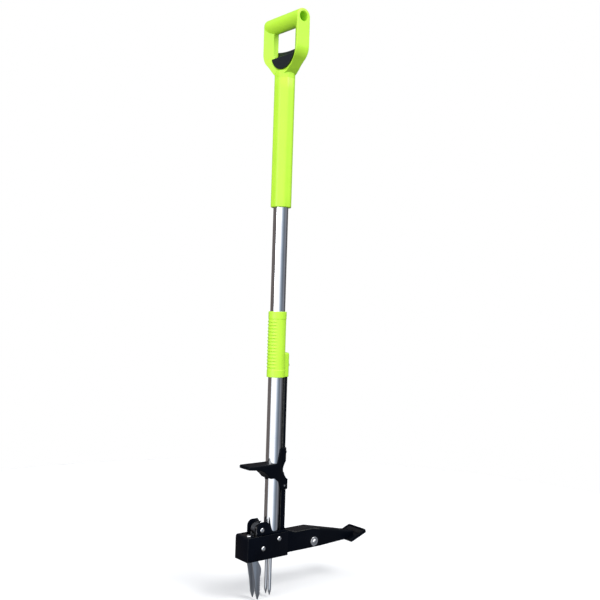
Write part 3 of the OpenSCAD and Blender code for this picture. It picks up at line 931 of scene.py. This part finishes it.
def make_spring():
    """A torsion spring of five turns round the link rivet, with two legs."""
    wire, turns, mean = 1.0, 5, 8.8
    low, high = span("return_spring")
    pitch = (high.y - low.y - 2 * wire) / turns
    path = []
    start = Vector((-35.6, low.y + wire, 97.0))
    steps = turns * 40
    for i in range(6):
        path.append(start.lerp(Vector((LINK.x - mean, low.y + wire, LINK.z)), i / 6))
    for i in range(steps + 11):
        a = math.pi - 2 * math.pi * turns * i / steps
        y = low.y + wire + pitch * turns * min(1, i / steps)
        path.append(Vector((LINK.x + mean * math.cos(a), y, LINK.z + mean * math.sin(a))))
    last = path[-1]
    way = (path[-1] - path[-2]).normalized()
    for i in range(1, 6):
        path.append(last + way * 2.2 * i)
    obj = sweep("detail_return_spring", path, wire, 12)
    dress(obj, "pedal", SPRING, "spring_steel", "return_spring")


def sweep(name, path, radius, sides=12):
    """A round wire along path, closed at its ends."""
    rings = []
    normal = None
    for i, p in enumerate(path):
        ahead = (path[min(i + 1, len(path) - 1)] - path[max(i - 1, 0)]).normalized()
        if normal is None:
            normal = ahead.orthogonal().normalized()
        normal = (normal - ahead * normal.dot(ahead)).normalized()
        other = ahead.cross(normal)
        rings.append([p + (normal * math.cos(a) + other * math.sin(a)) * radius
                      for a in (2 * math.pi * k / sides for k in range(sides))])
    return loft(name, rings)


# ---------------------------------------------------------------- the pedal's arm and tread

def tread_point(x, y, z):
    """A point given in the tread's own frame: X up the slope, Z out of its top."""
    return (TREAD_FOOT[0] + x * math.cos(TREAD_TILT) - z * math.sin(TREAD_TILT), y,
            TREAD_FOOT[1] + x * math.sin(TREAD_TILT) + z * math.cos(TREAD_TILT))


def make_arm():
    """The moulded arm from the channel to the tread, hollow underneath."""
    half = span("pedal_lever")[1].y
    # X, half width and top of each section; the first three lie inside the channel
    sections = [(60, 12.65, 101), (81, 12.65, 101), (95.25, 12.65, 98), (95.3, half, 99.8),
                (98, half - 0.2, 99.2), (120, 12.2, 94.7), (150, 9.5, 88.5), (160, 9.15, 86.2),
                (170, 8.8, 84.6), (180, 8.5, 82.95)]
    rings = []
    for x, w, top in sections:
        r = 3.2 if x > 95.27 else 0.8
        ring = [(x, -w, 70), (x, w, 70)]
        ring += [(x, y, z) for y, z in arc(w - r, top - r, r, 0, 90, 6)]
        ring += [(x, y, z) for y, z in arc(-w + r, top - r, r, 90, 180, 6)]
        rings.append(ring)
    obj = loft("arm", rings)
    box = [tread_point(x, 0, z) for x, z in ((-40, -25), (60, -25), (60, 3.03), (-40, 3.03))]
    obj = boolean(obj, prism("under", [(p[0], p[2]) for p in box], -30, 30))
    hollow = [[(x, y, z) for y, z in ((-w, 60), (w, 60), (w, top), (-w, top))]
              for x, w, top in ((98, 10.4, 94.4), (124, 8.6, 88.8), (146, 6.6, 83))]
    obj = boolean(obj, loft("hollow", hollow))
    for x in TREAD_SCREW_X:
        place = to_place(tread_point(x, 0, 7.0), TREAD_UP)
        obj = boolean(obj, lathe("sink", cylinder_profile(3.15, 0, 20), place, 40))
    obj.name = "detail_pedal_arm"
    bevel(obj, 0.5, 3, 45)
    shade(obj, 35)
    dress(obj, "pedal", BLACK, "black_plastic", "pedal_arm")


def soft_loop(x0, x1, half, radius, z, steps=8):
    """A rectangle with round corners in the tread's frame."""
    loop = []
    for cx, cy, a in ((x1 - radius, half - radius, 0), (x0 + radius, half - radius, 90),
                      (x0 + radius, -half + radius, 180), (x1 - radius, -half + radius, 270)):
        loop += [tread_point(x, y, z) for x, y in arc(cx, cy, radius, a, a + 90, steps)]
    return loop


def make_tread():
    """A dished foot tread: a floor inside a raised rim that opens where the arm lies."""
    length, half, corner, rim, floor, height = TREAD_L, TREAD_HALF, 2.6, 2.4, 3.0, 6.0
    # how far each loop lies inside the outline, and its height
    steps = [(1.0, 0.0), (0.25, 0.35), (0.0, 1.2), (0.0, height - 1.0), (0.3, height - 0.25)]
    steps += [(0.9, height), (rim - 0.9, height), (rim - 0.25, height - 0.3), (rim, height - 1.0)]
    steps += [(rim + 0.3, floor + 0.5), (rim + 1.0, floor)]
    rings = [soft_loop(inset, length - inset, half - inset, corner - inset * 0.6, z)
             for inset, z in steps]
    obj = loft("tread", rings)
    gap = [tread_point(x, y, z) for z in (floor + 0.02, height + 5)
           for x, y in ((-3, -9.7), (7, -9.7), (7, 9.7), (-3, 9.7))]
    obj = boolean(obj, loft("gap", [gap[:4], gap[4:]]))
    obj.name = "detail_foot_tread"
    bevel(obj, 0.25, 2, 55)
    dress(obj, "pedal", BLACK, "black_plastic", "foot_tread")


def make_pad():
    """The rubber pad on the tread, with nine round ribs along the foot."""
    half, pitch, base, crown = TREAD_HALF - 3.4, 4.1, 3.8, 5.0
    rings = []
    count = 180
    for i in range(count + 1):
        y = -half + 2 * half * i / count
        nearest = round(y / pitch)
        away = abs(y - nearest * pitch)
        lift = math.sqrt(max(0.0, 1 - (away / 1.0) ** 2)) if abs(nearest) <= 4 else 0.0
        top = base + (crown - base) * lift
        section = [(24, 3.02), (35, 3.02), (35, base - 0.2), (34.8, base), (34.1, base)]
        section += [(33.6, top - 0.1), (33.2, top), (25.8, top), (25.4, top - 0.1)]
        section += [(24.9, base), (24.2, base), (24, base - 0.2)]
        rings.append([tread_point(x, y, z) for x, z in section])
    obj = loft("detail_tread_pad", rings, smooth_angle=50)
    dress(obj, "pedal", RUBBER, "black_rubber", "tread_pad")


# ---------------------------------------------------------------- the slide

def sleeve_radius(angle, z, low, high):
    """Radius of the sleeve at an angle from +X and a height: lips, finger ribs and the rod's hump."""
    body, lip, lip_l = 14.8, 15.3, 12.0
    edge = 0.9
    from_end = min(z - low, high - z)
    radius = body + (lip - body) * min(1.0, max(0.0, (lip_l - from_end) / 0.8 + 1))
    if from_end < edge:
        radius -= edge - math.sqrt(max(0.0, edge ** 2 - (edge - from_end) ** 2))
    back = math.cos(angle - math.pi)
    if back > 0.55:
        first, pitch = low + 17.1, 5.4
        row = (z - first) / pitch
        if -0.5 < row < 14.5:
            ridge = max(0.0, math.cos(math.pi * min(1.0, abs(row - round(row)) / 0.34)) * 0.5 + 0.5)
            if abs(row - round(row)) > 0.34:
                ridge = 0.0
            radius += 1.1 * ridge * min(1.0, (back - 0.55) / 0.25)
    turn = (angle + math.pi) % (2 * math.pi) - math.pi
    hump_top, hump_r, soft = low + 41, 6.7, 3.5
    if abs(turn) < 0.6 and z <= hump_top:
        size = hump_r
        if z > hump_top - soft:
            size = hump_r - soft + math.sqrt(max(0.0, soft ** 2 - (z - hump_top + soft) ** 2))
        if z - low < edge:
            size -= edge - math.sqrt(max(0.0, edge ** 2 - (edge - z + low) ** 2))
        tangent = math.asin(min(1.0, size / ROD.x))
        if abs(turn) < tangent:
            aside = ROD.x * math.sin(turn)
            hump = ROD.x * math.cos(turn) + math.sqrt(max(0.0, size ** 2 - aside ** 2))
        else:
            hump = size / max(1e-6, abs(math.sin(turn)))
        radius = max(radius, min(hump, ROD.x + size))
    return radius


def make_sleeve():
    """The sliding sleeve: rings of sleeve_radius outside, a plain bore inside."""
    low, high = span("slide_sleeve")
    z0, z1, bore, count = low.z, high.z, TUBE_R + 0.3, 192
    levels = [z0 + t for t in (0, 0.1, 0.3, 0.6, 1.0)]
    z = z0 + 1.6
    while z < z1 - 1.2:
        levels.append(z)
        z += 0.45
    hump_top = z0 + 41
    levels += [hump_top - 0.02, hump_top + 0.02] + [z1 - t for t in (1.0, 0.6, 0.3, 0.1, 0)]
    rings = []
    for z in sorted(levels):
        ring = []
        for k in range(count):
            a = 2 * math.pi * (k + 0.5) / count
            radius = sleeve_radius(a, z, z0, z1)
            ring.append((radius * math.cos(a), radius * math.sin(a), z))
        rings.append(ring)
    rings += [circle_ring(bore + 0.4, z1, count), circle_ring(bore, z1 - 0.5, count),
              circle_ring(bore, z0 + 0.5, count), circle_ring(bore + 0.4, z0, count)]
    obj = loft("detail_slide_sleeve", rings, loop=True, smooth_angle=45)
    dress(obj, "slide", LIME, "lime_plastic", "slide_sleeve")


def make_rod_and_bar():
    """The round push rod above the clip and the flat push bar below it."""
    low, high = span("push_rod")
    radius, edge = (high.x - low.x) / 2, 0.5
    profile = [(0, low.z), (radius - edge, low.z), (radius, low.z + edge), (radius, high.z - edge),
               (radius - edge, high.z), (0, high.z)]
    rod = lathe("detail_push_rod", profile, Matrix.Translation((ROD.x, 0, 0)), 64)
    dress(rod, "slide", PAINT, "black_paint", "push_rod")

    low, high = span("push_bar")
    bar = prism("bar", rectangle(low.x, high.x, low.z, high.z), low.y, high.y)
    bevel(bar, 1.1, 3, 30)
    slot_r, half = 2.85, 0.5
    slot = arc(PUSH.x + half, PUSH.z, slot_r, -90, 90, 10)
    slot += arc(PUSH.x - half, PUSH.z, slot_r, 90, 270, 10)
    bar = boolean(bar, prism("slot", slot, -20, 20))
    bar.name = "detail_push_bar"
    dress(bar, "slide", PAINT, "black_paint", "push_bar")


def make_clip():
    """The moulded clip: a slanted collar, sockets for the rod and the bar, and the stepping tongue."""
    low, high = span("step_clip")
    tongue_x, tongue_z, half = low.x, 221.4, high.y
    collar_r, socket_r, base, top = 14.2, 6.9, low.z, high.z
    at_rod = Matrix.Translation((ROD.x, 0, 0))
    collar = lathe("collar", cylinder_profile(collar_r, base, top), segments=96)
    socket = lathe("socket", cylinder_profile(socket_r, 198, top), at_rod, 48)
    bridge = prism("bridge", rectangle(6, ROD.x, 200, top), -socket_r, socket_r)
    foot = prism("foot", rectangle(6, high.x, base, 205), -9.2, 9.2)
    bevel(foot, 1.5, 3)
    tongue = [(tongue_x, tongue_z), (tongue_x, 215.5), (-36, 213), (-26, 208.5), (-19, 203),
              (-12.5, 196), (-2, 196), (-2, tongue_z)]
    tongue = prism("tongue", tongue, -half, half)
    bevel(tongue, 1.6, 3, 20)
    obj = melt("clip", [collar, socket, bridge, foot, tongue], 0.8, 3)
    waist = to_place((35.5, 30, 208), (0, -1, 0))
    obj = boolean(obj, lathe("waist", cylinder_profile(18.6, 0, 60), waist, 128))
    above = [(-70, tongue_z + 0.1), (-1, tongue_z + 0.1), (6, 246), (6, 262), (-70, 262)]
    below = [(-70, 165), (10, 165), (10, 178), (4, 190), (-6, 197), (-13.2, 197), (-13.2, 194.5),
             (-70, 194.5)]
    obj = boolean(obj, prism("above", above, -25, 25))
    obj = boolean(obj, prism("below", below, -25, 25))
    obj = melt("detail_step_clip", [obj], 0.62, 5)
    obj = boolean(obj, lathe("bore", cylinder_profile(TUBE_R + 0.3, 160, 260), segments=128))
    bar_low, bar_high = span("push_bar")
    pocket = rectangle(bar_low.x - 0.1, bar_high.x + 0.1, 160, bar_high.z + 0.1)
    pocket = prism("pocket", pocket, bar_low.y - 0.1, bar_high.y + 0.1)
    obj = boolean(obj, pocket)
    obj = boolean(obj, lathe("socket", cylinder_profile(5.08, 229, 260), at_rod, 64))
    dress(obj, "slide", BLACK, "black_plastic", "step_clip")


# ---------------------------------------------------------------- everything in its place

D_DEPTH = 13.5                      # half the depth of the D's arms, and the bar's radius
BAR_Z = D_HIGH.z - D_DEPTH
YOKE_Z = 908.0                      # where the arms start to curve inwards
WINDOW_HALF, WINDOW_FRONT, WINDOW_REAR = 29.0, -3.5, 6.5
ARM_LAND = 1.5                      # what the tapered window leaves of the arms' faces
NECK_TOP = 870.5                    # where the grip's section ends under the D
PLATE_X = 8.0                       # front face of the insert's rear plate
GRIP_FLATS = 33.5
EAR_SLOT_IN = 12.2                  # inner side of the notches for the pedal's ears
PEDAL_TOP = 102.8
TREAD_TILT = math.radians(20)
TREAD_L, TREAD_HALF = 38.0, span("foot_tread")[1].y
TREAD_FOOT = (200 - TREAD_L * math.cos(TREAD_TILT), 67)
TREAD_UP = (-math.sin(TREAD_TILT), 0, math.cos(TREAD_TILT))
TREAD_SCREW_X, TREAD_SCREW_SEAT = (5.0, 12.0), 7.02

make_tube()
make_prong("prong_near")
make_prong("prong_far")
make_rivet("pedal_pivot_rivet", 3.0, 18.02, 4.0, 2.2)
make_rivet("claw_pivot_rivet", 3.0, 18.02, 4.0, 2.2)
make_rivet("link_rivet", 2.5, 14.42, 4.0, 1.7)
make_rivet("push_pin", 2.5, 14.42, 3.6, 1.6)
make_screws()
make_arm_bolt()
make_long_grip()
make_d_handle()
make_yoke_insert()
make_housing()
make_lever()
make_claw("claw_near")
make_claw("claw_far")
make_spring()
make_arm()
make_tread()
make_pad()
make_sleeve()
make_rod_and_bar()
make_clip()
